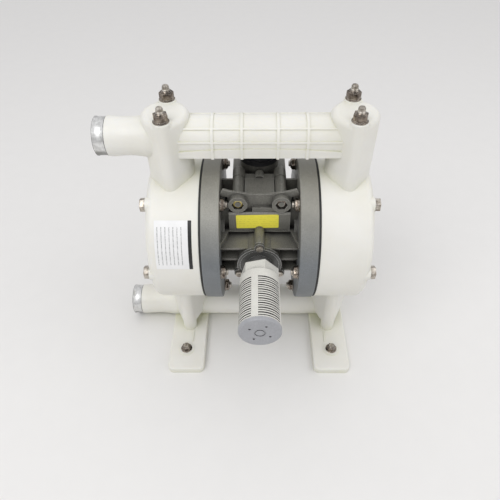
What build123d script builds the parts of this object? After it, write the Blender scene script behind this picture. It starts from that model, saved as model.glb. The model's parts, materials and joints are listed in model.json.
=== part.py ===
from build123d import *
import math
import os

# Air operated double diaphragm pump, 1 inch ports, moulded plastic, bolted.
# X runs along the chamber axis, -Y is the silencer side, Z is up from the floor.
# The model is built about the chamber axis (Z = 0 there) and lifted at export.

# ---- clearances ----
running_gap = 0.05           # radial clearance of the sliding fits
fit_gap = 0.1                # clearance of pieces that are only located
free_gap = 0.4               # clearance of a moving rod in a hole that does not guide it
bolt_gap = 0.5               # radial clearance of bolts in their holes
ball_gap = 0.3               # ball to seat and to lift stop
stop_gap = 0.3               # sliding piece to its end stop
over = 1.0                   # how far a cutter runs past the surface it opens

# ---- chambers and overall layout ----
ring_r = 110.0               # outside of the grey air chamber rings
bolt_circle_r = ring_r - 13.0
drum_r = ring_r - 2.0        # outside of the white liquid chambers
air_cavity_r = bolt_circle_r - 11.0
clamp_r = air_cavity_r - 32.0
manifold_x = 122.0           # centre of the upright valve towers, each side
joint_z = drum_r + 15.0      # parting plane between chamber necks and manifolds
discharge_z = joint_z + 39.5
suction_z = -joint_z - 57.0
pipe_rise = 30.0             # suction pipe axis above the floor
axis_height = pipe_rise - suction_z

# ---- air chambers ----
ring_in_x = 55.0
ring_out_x = 80.0
ring_wall = 6.0
ring_edge = 1.0

# ---- diaphragms ----
diaphragm_t = 3.0
diaphragm_rim_r = ring_r - 1.4
diaphragm_roll = 5.0         # height of the rolled convolution

# ---- liquid chambers ----
drum_in_x = ring_out_x + diaphragm_t
drum_end_x = 156.0
drum_edge = 11.0             # radius of the outer edge
drum_cavity_depth = 60.0
drum_wall_step = 6.0
cavity_slope = 26.0
cavity_floor_drop = 40.0
end_recess_r = bolt_circle_r - 27.0
end_recess_t = 4.0
end_rib_t = 4.0
end_rib_count = 6
end_hub_r = 18.0
bolt_boss_r = 10.8
neck_port_r = 15.0
stop_rib_t = 5.0
stop_rib_h = 7.0

# ---- chamber bolts ----
bolt_count = 6
bolt_start_angle = 30.0
bolt_r = 5.0
bolt_head_af = 17.0
bolt_head_t = 8.0
bolt_nut_af = 16.0
bolt_nut_t = 8.0
bolt_nut_flange_r = 10.4
bolt_tip = 3.0               # thread showing past the nut

# ---- check valves ----
ball_r = 16.0
ball_lift = 8.0
cage_r = 18.5
seat_out_r = 20.8
seat_in_r = 12.5
seat_t = 8.0
seal_t = 1.4                 # radial thickness of the seat seals
seal_h = 2.4
ball_seat_rise = math.sqrt(ball_r ** 2 - seat_in_r ** 2) + ball_gap

# ---- manifolds ----
pipe_r = 28.0
suction_pipe_r = 27.0
pipe_bore_r = 13.0
rib_r = 29.5
rib_t = 3.6
long_rib_t = 2.4
rib_xs = (23.4, 61.6)
long_rib_angles = (42.0, 77.0)
band_half_y = 29.0           # flat band along the lower half of the discharge pipe
band_top = -2.5
band_end_top = -9.0
band_bottom = -16.5
rib_overhang = 1.0           # cross ribs past the flat band
port_thread_r = 15.2
port_thread_depth = 25.0
discharge_end_x = -216.0
suction_end_x = -225.5
steel_width = 16.0           # steel reinforcing bands on the port ends
steel_r = 26.0
steel_t = 1.3
collar_r = 26.6
collar_width = 8.0
waist_length = 24.0
waist_r = 25.4
flare_r = 28.5
flare_reach = 25.0           # where the stub meets the tower, from the tower's centre
tower_r = 31.5
tower_end_r = 12.0
tower_edge = 8.0             # rounding of the tower's top edge
stud_y = 28.5
nut_seat_z = discharge_z + 37.4
seat_step = 1.4              # stud seats above the tower's top
seat_edge = 1.5
elbow_r = 26.0               # rounded underside of the suction elbows
lower_column_r = 11.5
lower_bolt_y = 46.0

# ---- studs and nuts ----
stud_r = 5.0
stud_tip = 20.0              # stud end above the nut seat
stud_hole_depth = 24.0
stud_point = 0.6             # rounded point, share of the radius
stud_taper = 35.0
nut_af = 15.0
nut_hex_t = 9.0
nut_collar_t = 3.5           # locking collar above the hexagon
nut_collar_r = 6.8
nut_collar_edge = 1.0
nut_flange_r = 10.6
nut_flange_t = 2.4
hex_corner_trim = 0.565      # corners rounded to this share of the width across flats

# ---- feet ----
foot_width = 60.0
foot_half_length = 135.5
foot_t = 12.0
foot_corner = 9.0
foot_edge = 1.5
foot_pad_r = 13.0
foot_pad_t = 1.2
foot_bolt_x = 124.0
foot_bolt_y = 96.0
foot_bolt_r = 4.0
foot_bolt_tip = 13.0
foot_nut_t = 8.0
foot_nut_flange_r = 9.4
foot_head_af = 13.0
head_t = 5.3                 # thickness of the recessed and tie bolt heads
head_recess = 0.7            # recessed heads above the floor
recess_share = 0.65          # recess radius as a share of the head's width across flats
foot_rib_t = 1.6
foot_rib_h = 1.4
foot_rib_x = 8.0
foot_rib_gap = 2.0

# ---- centre body ----
hub_r = 32.0
end_plate_r = 66.0
end_plate_t = 5.0
face_y = -50.0               # front face of the label block
block_half_x = 43.0
block_lip_x = 45.0
block_top_z = 70.0
block_bottom_z = 36.0
block_wall = 4.0
block_edge = 2.0
lip_t = 2.2
lip_out = 1.6
step_left_x = -10.0
step_right_x = 22.0
step_t = 7.0
step_back = 3.0
web_y = -42.0                # curved web in front of the tie bolt columns
web_t = 3.0
web_mid_z = 96.6
web_tip_z = 105.0
web_tip_x = 50.0
web_root_z = 97.0
inner_wall_y = -33.0
shelf_zs = (30.0, 9.0, -13.0)
rear_shelf_zs = (20.0, -20.0, -40.0)
shelf_front_y = -79.0
shelf_t = 3.2
wall_top_z = 20.0
wall_bottom_z = -45.0
cheek_x = 44.0
cheek_back_y = -48.0
tie_x = 30.0
tie_z = 84.0
tie_boss_r = 13.0
tie_boss_front_y = -50.0
tie_column_r = 8.1
tie_rear_r = 9.0
tie_rib_t = 8.0
tie_bolt_r = 4.0
tie_nut_af = 13.0
tie_nut_t = 6.5
tie_bolt_short = 1.5         # bolt end inside the pocket's mouth
tie_head_y = 28.0            # bearing face of the bolt heads at the back
pocket_af = 15.0
pocket_depth = 9.0
seam_y = 9.0                 # joint between the centre body and the air valve
spine_half_x = 21.0
spine_top_z = 86.0
seam_web_t = 3.0
rear_plate_t = 6.0
rear_plate_top_z = 36.0
rear_plate_bottom_z = -52.0
keel_t = 6.0
keel_front_y = -45.0
keel_bottom_z = -56.0

# ---- exhaust ----
exhaust_z = 5.0
exhaust_boss_r = 30.0
exhaust_face_y = -83.0
exhaust_bore_r = 15.0
flange_t = 5.0
flange_r = 31.5
flange_lip = 4.0
flange_lip_t = 1.4
screw_circle_r = 34.0
screw_count = 3
screw_lobe_r = 7.0
screw_r = 2.5
screw_head_r = 5.0
screw_head_t = 3.2
screw_depth = 20.0
cross_width = 1.0
cross_reach = 2.6
cross_depth = 1.2

# ---- silencer ----
silencer_r = 27.5
silencer_end_y = -204.5
silencer_hex_y = -101.0
silencer_hex_len = 17.0
silencer_hex_af = 47.6
silencer_turn = 14.5         # degrees that it stands turned in its thread
silencer_wall = 3.5
silencer_base = 6.0          # floor behind the hexagon
silencer_neck_r = 18.0
silencer_tail_r = 13.0
tail_bore_r = 9.0
slot_widths = (1.9, 1.3)     # wide and narrow slots by turns
slot_pitch = 3.69
slot_count = 18
slot_first_y = -133.0
slot_columns = 4
slot_strip = 9.2             # solid strip between columns of slots
end_cap_t = 5.5
end_cap_edge = 2.0
end_cap_lip = 0.6           # cap past the tube, on the radius
notch_r = 1.6
notch_circle_r = 15.3
notch_count = 4
notch_start = 45.0
notch_depth = 1.2
mark_out_r = 7.3
mark_in_r = 5.4
mark_depth = 0.8
element_gap = 3.0
element_wall = 5.0
element_floor = 1.0

# ---- air valve at the back ----
valve_y = 57.0
valve_front_y = 34.0
valve_back_y = 95.0
valve_half_x = 40.0
valve_bottom_z = -60.0
valve_neck_z = 38.0          # above this the valve body reaches forward to the seam
valve_shoulder_z = 75.0
valve_corner = 14.0
valve_edge = 2.5
valve_plate_t = 11.0
valve_plate_half_x = 32.0
valve_plate_top_z = 85.0
valve_tower_r = 29.0
valve_top_z = 93.0
pilot_boss_r = 6.5
pilot_boss_z = 83.0
pilot_boss_y = 25.0
valve_cap_r = 30.0
valve_cap_top_z = 145.0
valve_cap_edge = 4.0
cap_rim_h = 7.0
cap_step = 2.0
cap_slot_w = 6.0
cap_slot_depth = 3.0
low_cap_z = -76.0
sleeve_out_r = 20.0
sleeve_in_r = 15.0
spool_waist_r = 10.0
spool_travel = 16.0
spool_len = valve_top_z - valve_bottom_z - spool_travel / 2
spool_land = 14.0
spool_drop = 8.0             # lower stop below the valve body
gasket_t = 1.5
inlet_z = -20.0
inlet_r = 6.6
inlet_wall = 3.0
inlet_boss_r = 14.0
inlet_boss_t = 6.0
inlet_hex_af = 22.0
inlet_hex_t = 8.0
inlet_engage = 8.0

# ---- moving core ----
rod_r = 10.0
bushing_wall = 4.0
bushing_len = 20.0
disc_t = 6.0
disc_hub_r = 20.0
inner_disc_r = clamp_r - 4.0
outer_disc_t = 3.0
dome_t = 11.0
dome_shoulder = 0.86         # dome height at half radius, as a share
stem_r = 6.0
stem_depth = 18.0
pilot_z = -22.0
pilot_r = 3.5
pilot_reach = 4.5            # pilot rod beyond the air chamber wall
pilot_bush_r = 6.5

foot_top_z = foot_t - axis_height
head_seat = head_t + head_recess
sides = (-1, 1)


def cyl_x(x0, x1, r, y=0.0, z=0.0):
    return Pos((x0 + x1) / 2, y, z) * Rot(0, 90, 0) * Cylinder(r, abs(x1 - x0))


def cyl_y(y0, y1, r, x=0.0, z=0.0):
    return Pos(x, (y0 + y1) / 2, z) * Rot(90, 0, 0) * Cylinder(r, abs(y1 - y0))


def cyl_z(z0, z1, r, x=0.0, y=0.0):
    return Pos(x, y, (z0 + z1) / 2) * Cylinder(r, abs(z1 - z0))


def block(x0, x1, y0, y1, z0, z1):
    size = (abs(x1 - x0), abs(y1 - y0), abs(z1 - z0))
    return Pos((x0 + x1) / 2, (y0 + y1) / 2, (z0 + z1) / 2) * Box(*size)


def hex_bar(af, length):
    """Hexagonal bar standing on the XY plane, flats facing +-Y."""
    return extrude(RegularPolygon(af / 2, 6, major_radius=False), length)


def turn_x(points):
    """Solid of revolution about X from (x, r) points."""
    return revolve(make_face(Polyline([(x, r, 0) for x, r in points], close=True)), Axis.X)


def plate_xz(edges, y0, y1):
    """Upright plate whose outline is drawn in X and Z, from y0 back to y1."""
    return Pos(0, y1, 0) * Rot(90, 0, 0) * extrude(make_face(edges), y1 - y0)


def side_mirror(shape, side):
    return shape if side > 0 else mirror(shape, Plane.YZ)


def fused(shapes):
    shapes = list(shapes)
    total = shapes[0]
    for shape in shapes[1:]:
        total = total + shape
    return total


def ring_points(radius, count, start=0.0):
    """Places on a circle: first offset, then height, the angle counted from the top."""
    angles = [math.radians(start + i * 360 / count) for i in range(count)]
    return [(radius * math.sin(a), radius * math.cos(a)) for a in angles]


def rhombus_plan(middle_r, end_r, reach):
    """Middle circle and two end circles joined by their tangents."""
    lean = math.asin((middle_r - end_r) / reach)
    mid_x, mid_y = middle_r * math.cos(lean), middle_r * math.sin(lean)
    end_x, end_y = end_r * math.cos(lean), reach + end_r * math.sin(lean)
    outline = []
    for s in sides:
        outline.append(Line((s * mid_x, s * mid_y), (s * end_x, s * end_y)))
        outline.append(ThreePointArc((s * end_x, s * end_y), (0, s * (reach + end_r)), (-s * end_x, s * end_y)))
        outline.append(Line((-s * end_x, s * end_y), (-s * mid_x, s * mid_y)))
        outline.append(ThreePointArc((-s * mid_x, s * mid_y), (-s * middle_r, 0), (-s * mid_x, -s * mid_y)))
    return make_face(outline)


bolt_places = ring_points(bolt_circle_r, bolt_count, bolt_start_angle)   # (y, z) on the chamber face
upper_plan = rhombus_plan(tower_r, tower_end_r, stud_y)
lower_plan = rhombus_plan(tower_r, lower_column_r, lower_bolt_y)


def bolt_holes(x0, x1):
    return [cyl_x(x0, x1, bolt_r + bolt_gap, y, z) for y, z in bolt_places]


# ---------------------------------------------------------------- air side
def air_chamber(side):
    inner_wall_x = ring_in_x + ring_wall
    outline = [
        (ring_in_x, rod_r + free_gap), (ring_in_x, ring_r - ring_edge), (ring_in_x + ring_edge, ring_r),
        (ring_out_x - ring_edge, ring_r), (ring_out_x, ring_r - ring_edge), (ring_out_x, air_cavity_r),
        (inner_wall_x + ring_wall, air_cavity_r - ring_wall), (inner_wall_x, inner_disc_r + ring_wall),
        (inner_wall_x, rod_r + free_gap),
    ]
    body = turn_x(outline)
    body -= bolt_holes(ring_in_x - over, ring_out_x + over)
    body -= cyl_x(ring_in_x - over, ring_out_x, pilot_r + free_gap, 0, pilot_z)
    return side_mirror(body, side)


def diaphragm(side):
    x0 = ring_out_x
    x1 = ring_out_x + diaphragm_t
    hole_r = stem_r + fit_gap
    mid_r = (clamp_r + air_cavity_r) / 2
    roll_in_r = clamp_r + 2 * diaphragm_t
    roll_out_r = air_cavity_r - diaphragm_t
    front = Polyline([(x0, hole_r, 0), (x1, hole_r, 0), (x1, roll_in_r, 0)])
    roll = ThreePointArc((x1, roll_in_r, 0), (x1 + diaphragm_roll, mid_r, 0), (x1, roll_out_r, 0))
    rim = Polyline([(x1, roll_out_r, 0), (x1, diaphragm_rim_r, 0), (x0, diaphragm_rim_r, 0),
                    (x0, roll_out_r, 0)])
    back = ThreePointArc((x0, roll_out_r, 0), (x0 + diaphragm_roll, mid_r, 0), (x0, roll_in_r, 0))
    close = Line((x0, roll_in_r, 0), (x0, hole_r, 0))
    body = revolve(make_face([front, roll, rim, back, close]), Axis.X)
    body -= bolt_holes(x0 - over, x1 + over)
    return side_mirror(body, side)


# ---------------------------------------------------------------- liquid side
def drum_shell():
    """Solid drum with a rounded outer edge and a ribbed recess in its end."""
    bend = drum_edge * (1 - math.cos(math.radians(45)))
    outline = [
        Polyline([(drum_in_x, 0, 0), (drum_in_x, drum_r, 0), (drum_end_x - drum_edge, drum_r, 0)]),
        ThreePointArc((drum_end_x - drum_edge, drum_r, 0), (drum_end_x - bend, drum_r - bend, 0),
                      (drum_end_x, drum_r - drum_edge, 0)),
        Polyline([(drum_end_x, drum_r - drum_edge, 0), (drum_end_x, end_recess_r, 0),
                  (drum_end_x - end_recess_t, end_recess_r - end_recess_t, 0),
                  (drum_end_x - end_recess_t, 0, 0), (drum_in_x, 0, 0)]),
    ]
    body = revolve(make_face(outline), Axis.X)
    rib_in_x = drum_end_x - 2 * end_recess_t
    rib = block(rib_in_x, drum_end_x, -end_rib_t / 2, end_rib_t / 2, end_hub_r / 2, end_recess_r)
    body += [Rot(i * 360 / end_rib_count, 0, 0) * rib for i in range(end_rib_count)]
    body += cyl_x(rib_in_x, drum_end_x, end_hub_r)
    return body + [cyl_x(drum_end_x - 2 * drum_edge, drum_end_x, bolt_boss_r, y, z) for y, z in bolt_places]


def drum_cavity():
    floor_x = drum_in_x + drum_cavity_depth
    rim_r = air_cavity_r + over
    return turn_x([(drum_in_x, 0), (drum_in_x, rim_r), (drum_in_x + drum_wall_step, rim_r),
                   (floor_x - drum_wall_step, rim_r - cavity_slope), (floor_x, rim_r - cavity_floor_drop),
                   (floor_x, 0)])


def liquid_chamber(side):
    body = drum_shell()
    body += Pos(manifold_x, 0, 0) * extrude(upper_plan, joint_z)
    body += Pos(manifold_x, 0, -joint_z) * extrude(lower_plan, joint_z)
    body -= drum_cavity()
    body -= bolt_holes(drum_in_x - over, drum_end_x + over)
    body -= cyl_z(0, joint_z + over, neck_port_r, manifold_x)
    body -= cyl_z(-joint_z - over, -clamp_r, cage_r, manifold_x)
    half_seat = seat_t / 2
    body -= cyl_z(joint_z - half_seat, joint_z + over, seat_out_r + fit_gap, manifold_x)
    body -= cyl_z(-joint_z - over, -joint_z + half_seat, seat_out_r + fit_gap, manifold_x)
    for s in sides:
        body -= cyl_z(joint_z - stud_hole_depth, joint_z + over, stud_r + fit_gap, manifold_x, s * stud_y)
        body -= cyl_z(-joint_z - over, -joint_z + stud_hole_depth, stud_r + fit_gap, manifold_x,
                      s * lower_bolt_y)
    stop_z = -joint_z + half_seat + ball_seat_rise + ball_r + ball_lift + ball_gap
    body += block(manifold_x - ball_r, drum_end_x - 2 * end_recess_t, -stop_rib_t / 2, stop_rib_t / 2,
                  stop_z, stop_z + stop_rib_h)
    return side_mirror(body, side)


def valve_seat(side, z_joint):
    x = side * manifold_x
    ring = cyl_z(z_joint - seat_t / 2, z_joint + seat_t / 2, seat_out_r, x)
    ring -= cyl_z(z_joint - seat_t, z_joint + seat_t, seat_in_r, x)
    groove = cyl_z(z_joint - seal_h / 2, z_joint + seal_h / 2, seat_out_r + over, x)
    groove -= cyl_z(z_joint - seal_h, z_joint + seal_h, seat_out_r - seal_t, x)
    return ring - groove


def check_ball(side, z_joint):
    return Pos(side * manifold_x, 0, z_joint + seat_t / 2 + ball_seat_rise) * Sphere(ball_r)


def seat_seals():
    seals = []
    for x, z in [(s * manifold_x, z) for s in sides for z in (joint_z, -joint_z)]:
        ring = cyl_z(z - seal_h / 2, z + seal_h / 2, seat_out_r + fit_gap / 2, x)
        seals.append(ring - cyl_z(z - seal_h, z + seal_h, seat_out_r - seal_t, x))
    return seals


# ---------------------------------------------------------------- manifolds
def pipe_band():
    """Flat band along the lower half of the discharge pipe, its top bowed down at both ends."""
    edges = [
        Polyline([(-manifold_x, band_end_top), (-manifold_x, band_bottom), (manifold_x, band_bottom),
                  (manifold_x, band_end_top)]),
        ThreePointArc((manifold_x, band_end_top), (0, band_top), (-manifold_x, band_end_top)),
    ]
    return plate_xz(edges, -band_half_y, band_half_y)


def ribbed_pipe():
    """Discharge pipe between the towers with its band, rings and lengthwise ribs, about the X axis."""
    body = cyl_x(-manifold_x, manifold_x, pipe_r) + pipe_band()
    rib_y = band_half_y + rib_overhang
    for x in [s * x for s in sides for x in rib_xs]:
        body += cyl_x(x - rib_t / 2, x + rib_t / 2, rib_r)
        body += block(x - rib_t / 2, x + rib_t / 2, -rib_y, rib_y, band_bottom - rib_overhang, band_top)
    rib = block(-manifold_x, manifold_x, -long_rib_t / 2, long_rib_t / 2, pipe_r - rib_t, rib_r)
    return body + [Rot(s * angle, 0, 0) * rib for s in sides for angle in long_rib_angles]


def port_pipe(end_x):
    """Port stub from its threaded end to the tower, about the X axis."""
    steel_end = end_x + steel_width
    collar_end = steel_end + collar_width
    seat_r = steel_r - steel_t - fit_gap
    tower_x = -manifold_x - flare_reach
    outline = Polyline([(end_x, 0, 0), (end_x, seat_r, 0), (steel_end, seat_r, 0),
                        (steel_end, collar_r, 0), (collar_end, collar_r, 0)])
    waist = Spline([(collar_end, collar_r, 0), (steel_end + waist_length, waist_r, 0), (tower_x, flare_r, 0)])
    close = Polyline([(tower_x, flare_r, 0), (-manifold_x, flare_r, 0), (-manifold_x, 0, 0), (end_x, 0, 0)])
    return revolve(make_face([outline, waist, close]), Axis.X)


def pipe_bores(end_x):
    return [cyl_x(end_x, manifold_x, pipe_bore_r),
            cyl_x(end_x - over, end_x + port_thread_depth, port_thread_r)]


def discharge_tower():
    """Tower with a widely rounded top and two flat stud seats, standing on the parting plane."""
    top_z = nut_seat_z - seat_step
    tower = extrude(upper_plan, top_z - joint_z)
    tower = fillet(tower.faces().sort_by(Axis.Z)[-1].edges(), tower_edge)
    column = extrude(Circle(tower_end_r), nut_seat_z - joint_z)
    column = fillet(column.faces().sort_by(Axis.Z)[-1].edges(), seat_edge)
    return tower + [Pos(0, s * stud_y) * column for s in sides]


def discharge_manifold():
    body = Pos(0, 0, discharge_z) * (ribbed_pipe() + port_pipe(discharge_end_x))
    tower = discharge_tower()
    body += [Pos(s * manifold_x, 0, joint_z) * tower for s in sides]
    body -= [Pos(0, 0, discharge_z) * bore for bore in pipe_bores(discharge_end_x)]
    cage_top = joint_z + seat_t / 2 + ball_seat_rise + ball_r + ball_lift + ball_gap
    for x in (-manifold_x, manifold_x):
        body -= cyl_z(joint_z - over, cage_top, cage_r, x)
        body -= cyl_z(joint_z - over, joint_z + seat_t / 2, seat_out_r + fit_gap, x)
        body -= [cyl_z(joint_z - over, nut_seat_z + over, stud_r + bolt_gap, x, s * stud_y) for s in sides]
    return body


def suction_manifold():
    pipe = cyl_x(-manifold_x, manifold_x, suction_pipe_r) + port_pipe(suction_end_x)
    body = Pos(0, 0, suction_z) * pipe
    for x in (-manifold_x, manifold_x):
        body += Pos(x, 0, suction_z) * extrude(lower_plan, -joint_z - suction_z)
        body += Pos(x, 0, suction_z) * Sphere(elbow_r)
        body += [cyl_z(foot_top_z, -joint_z, lower_column_r, x, s * lower_bolt_y) for s in sides]
    body -= [Pos(0, 0, suction_z) * bore for bore in pipe_bores(suction_end_x)]
    for x in (-manifold_x, manifold_x):
        body -= cyl_z(suction_z, -joint_z + over, neck_port_r, x)
        body -= cyl_z(-joint_z - seat_t / 2, -joint_z + over, seat_out_r + fit_gap, x)
        body -= [cyl_z(foot_top_z - over, -joint_z + over, stud_r + bolt_gap, x, s * lower_bolt_y)
                 for s in sides]
    return body


def port_band(end_x, z):
    ring = cyl_x(end_x, end_x + steel_width - fit_gap, steel_r, 0, z)
    return ring - cyl_x(end_x - over, end_x + steel_width + over, steel_r - steel_t, 0, z)


# ---------------------------------------------------------------- fasteners
def flange_nut(af, flange_r, height, hole_r):
    """Hex flange nut standing on the XY plane."""
    body = hex_bar(af, height) & Cylinder(af * hex_corner_trim, height * 2)
    body += extrude(Circle(flange_r), nut_flange_t)
    return body - Cylinder(hole_r, height * 3)


def rounded_stud(radius, length):
    """Stud along +Z from the origin with a rounded top end."""
    point = radius * stud_point
    shank = extrude(Circle(radius), length - point)
    return shank + Pos(0, 0, length - point) * extrude(Circle(radius), point, taper=stud_taper)


def hex_bolt(radius, length, head_af, head_h):
    """Bolt along +Z from its head's bearing face at the origin, head below."""
    return extrude(Circle(radius), length) + Pos(0, 0, -head_h) * hex_bar(head_af, head_h)


def stud_places():
    return [(side * manifold_x, s * stud_y) for side in sides for s in sides]


def discharge_studs():
    base = joint_z - stud_hole_depth + fit_gap
    stud = rounded_stud(stud_r, nut_seat_z + stud_tip - base)
    return [Pos(x, y, base) * stud for x, y in stud_places()]


def discharge_nuts():
    hole_r = stud_r + fit_gap
    nut = flange_nut(nut_af, nut_flange_r, nut_hex_t, hole_r)
    collar = extrude(Circle(nut_collar_r), nut_collar_t)
    collar = chamfer(collar.faces().sort_by(Axis.Z)[-1].edges(), nut_collar_edge)
    nut += Pos(0, 0, nut_hex_t) * (collar - Cylinder(hole_r, nut_collar_t * 3))
    return [Pos(x, y, nut_seat_z) * nut for x, y in stud_places()]


def suction_bolts():
    seat_z = head_seat - axis_height
    top = -joint_z + stud_hole_depth - fit_gap
    bolt = hex_bolt(stud_r, top - seat_z, bolt_head_af, head_t)
    return [Pos(side * manifold_x, s * lower_bolt_y, seat_z) * bolt for side in sides for s in sides]


def chamber_bolts(side):
    length = drum_end_x - ring_in_x + bolt_nut_t + bolt_tip
    bolt = hex_bolt(bolt_r, length, bolt_head_af, bolt_head_t)
    placed = [Pos(drum_end_x, y, z) * Rot(0, -90, 0) * bolt for y, z in bolt_places]
    return [side_mirror(b, side) for b in placed]


def chamber_nuts(side):
    nut = flange_nut(bolt_nut_af, bolt_nut_flange_r, bolt_nut_t, bolt_r + fit_gap)
    placed = [Pos(ring_in_x, y, z) * Rot(0, -90, 0) * nut for y, z in bolt_places]
    return [side_mirror(n, side) for n in placed]


# ---------------------------------------------------------------- feet
def foot(side):
    """Foot plate under one suction elbow, with recesses for the bolt heads and hollows for the pipe."""
    body = extrude(RectangleRounded(foot_width, 2 * foot_half_length, foot_corner), foot_t)
    body = chamfer(body.faces().sort_by(Axis.Z)[-1].edges(), foot_edge)
    bolt_x = foot_bolt_x - manifold_x
    rib_start = lower_bolt_y + lower_column_r + foot_rib_gap
    rib_end = foot_bolt_y - foot_pad_r - foot_rib_gap
    for s in sides:
        y = s * foot_bolt_y
        body += Pos(bolt_x, y, foot_t) * extrude(Circle(foot_pad_r), foot_pad_t)
        body += block(-foot_rib_x, foot_rib_t - foot_rib_x, s * rib_start, s * rib_end, foot_t / 2,
                      foot_t + foot_rib_h)
        body -= Pos(bolt_x, y, -over) * extrude(Circle(foot_bolt_r + bolt_gap), foot_t + foot_pad_t + 2 * over)
        body -= Pos(bolt_x, y, 0) * extrude(Circle(foot_head_af * recess_share), head_seat)
        body -= Pos(0, s * lower_bolt_y, -over) * extrude(Circle(stud_r + bolt_gap), foot_t + 2 * over)
        body -= Pos(0, s * lower_bolt_y, 0) * extrude(Circle(bolt_head_af * recess_share), head_seat)
    body -= cyl_x(-foot_width, 0, suction_pipe_r + fit_gap, 0, pipe_rise)
    body -= Pos(0, 0, pipe_rise) * Sphere(elbow_r + fit_gap)
    if side < 0:
        body -= cyl_x(0, foot_width, flare_r + fit_gap, 0, pipe_rise)
    return side_mirror(Pos(manifold_x, 0, -axis_height) * body, side)


def foot_places():
    return [(side * foot_bolt_x, s * foot_bolt_y) for side in sides for s in sides]


def foot_bolts():
    length = foot_t + foot_pad_t + foot_bolt_tip - head_seat
    bolt = hex_bolt(foot_bolt_r, length, foot_head_af, head_t)
    return [Pos(x, y, head_seat - axis_height) * bolt for x, y in foot_places()]


def foot_nuts():
    nut = flange_nut(foot_head_af, foot_nut_flange_r, foot_nut_t, foot_bolt_r + fit_gap)
    return [Pos(x, y, foot_top_z + foot_pad_t) * nut for x, y in foot_places()]


# ---------------------------------------------------------------- centre body
screw_places = [(x, exhaust_z + z) for x, z in ring_points(screw_circle_r, screw_count)]


def curved_web():
    """Upright web with a hollowed top edge, between the two end plates."""
    edges = [
        Polyline([(-web_tip_x, web_tip_z), (-ring_in_x, web_root_z), (-ring_in_x, block_bottom_z),
                  (ring_in_x, block_bottom_z), (ring_in_x, web_root_z), (web_tip_x, web_tip_z)]),
        ThreePointArc((web_tip_x, web_tip_z), (0, web_mid_z), (-web_tip_x, web_tip_z)),
    ]
    return plate_xz(edges, web_y, web_y + web_t)


def label_block():
    """Hollow block with a flat front for the label, a lip below and a step on top."""
    body = block(-block_half_x, block_half_x, face_y, inner_wall_y + over, block_bottom_z, block_top_z)
    body = chamfer(body.faces().sort_by(Axis.Z)[-1].edges().sort_by(Axis.Y)[0], block_edge)
    body += block(-block_lip_x, block_lip_x, face_y - lip_out, web_y, block_bottom_z, block_bottom_z + lip_t)
    body -= block(-block_half_x + block_wall, block_half_x - block_wall, face_y + block_wall, inner_wall_y,
                  block_bottom_z - over, block_top_z - block_wall)
    return body + block(step_left_x, step_right_x, face_y + step_back, web_y, block_top_z - over,
                        block_top_z + step_t)


def side_cheek():
    """Curved cheek from the label block's corner out to the ring, on the top shelf."""
    straight = Polyline([(ring_in_x, shelf_front_y), (ring_in_x, cheek_back_y), (cheek_x, cheek_back_y)])
    mid = ((ring_in_x + cheek_x) / 2 - lip_out, (cheek_back_y + shelf_front_y) / 2)
    plan = make_face([straight, ThreePointArc((cheek_x, cheek_back_y), mid, (ring_in_x, shelf_front_y))])
    return Pos(0, 0, shelf_zs[0] - shelf_t) * extrude(plan, block_bottom_z + lip_t - shelf_zs[0] + shelf_t)


def center_body():
    body = cyl_x(-ring_in_x, ring_in_x, hub_r)
    body += [cyl_x(s * ring_in_x, s * (ring_in_x - end_plate_t), end_plate_r) for s in sides]
    body += curved_web()
    body += label_block()
    for z in shelf_zs:
        body += block(-ring_in_x, ring_in_x, shelf_front_y, 0, z - shelf_t, z)
    body += [side_cheek(), mirror(side_cheek(), Plane.YZ)]
    body += block(-ring_in_x, ring_in_x, seam_y - seam_web_t, seam_y, 0, spine_top_z)
    body += block(-ring_in_x, ring_in_x, inner_wall_y, inner_wall_y + web_t, wall_bottom_z, wall_top_z)
    body += cyl_y(exhaust_face_y, 0, exhaust_boss_r, 0, exhaust_z)
    body += [cyl_y(exhaust_face_y, face_y, screw_lobe_r, x, z) for x, z in screw_places]
    body += block(-spine_half_x, spine_half_x, web_y, seam_y, 0, spine_top_z)
    for x in (-tie_x, tie_x):
        body += cyl_y(tie_boss_front_y, web_y + web_t, tie_boss_r, x, tie_z)
        body += cyl_y(web_y, seam_y, tie_column_r, x, tie_z)
        body += block(x - tie_rib_t / 2, x + tie_rib_t / 2, web_y, seam_y, wall_top_z, tie_z)
    rear_y = valve_front_y - gasket_t
    for z in rear_shelf_zs:
        body += block(-ring_in_x, ring_in_x, 0, rear_y, z - shelf_t / 2, z + shelf_t / 2)
    body += block(-valve_half_x, valve_half_x, rear_y - rear_plate_t, rear_y, rear_plate_bottom_z,
                  rear_plate_top_z)
    body += block(-keel_t / 2, keel_t / 2, keel_front_y, rear_y - rear_plate_t / 2, keel_bottom_z, 0)
    for x in (-tie_x, tie_x):
        body -= Pos(x, tie_boss_front_y - over, tie_z) * Rot(-90, 0, 0) * hex_bar(pocket_af, pocket_depth + over)
        body -= cyl_y(tie_boss_front_y, seam_y + over, tie_bolt_r + bolt_gap, x, tie_z)
    body -= cyl_y(exhaust_face_y - over, -hub_r, exhaust_bore_r, 0, exhaust_z)
    body -= [cyl_y(exhaust_face_y - over, exhaust_face_y + screw_depth, screw_r + fit_gap, x, z)
             for x, z in screw_places]
    nut_room = ring_in_x - bolt_nut_t - bolt_tip - fit_gap
    body -= [cyl_x(s * nut_room, s * ring_in_x, bolt_nut_flange_r + bolt_gap, y, z)
             for s in sides for y, z in bolt_places]
    body -= cyl_x(-ring_in_x - over, ring_in_x + over, rod_r + bushing_wall + fit_gap)
    return body - cyl_x(-ring_in_x - over, ring_in_x + over, pilot_bush_r + fit_gap, 0, pilot_z)


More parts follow.
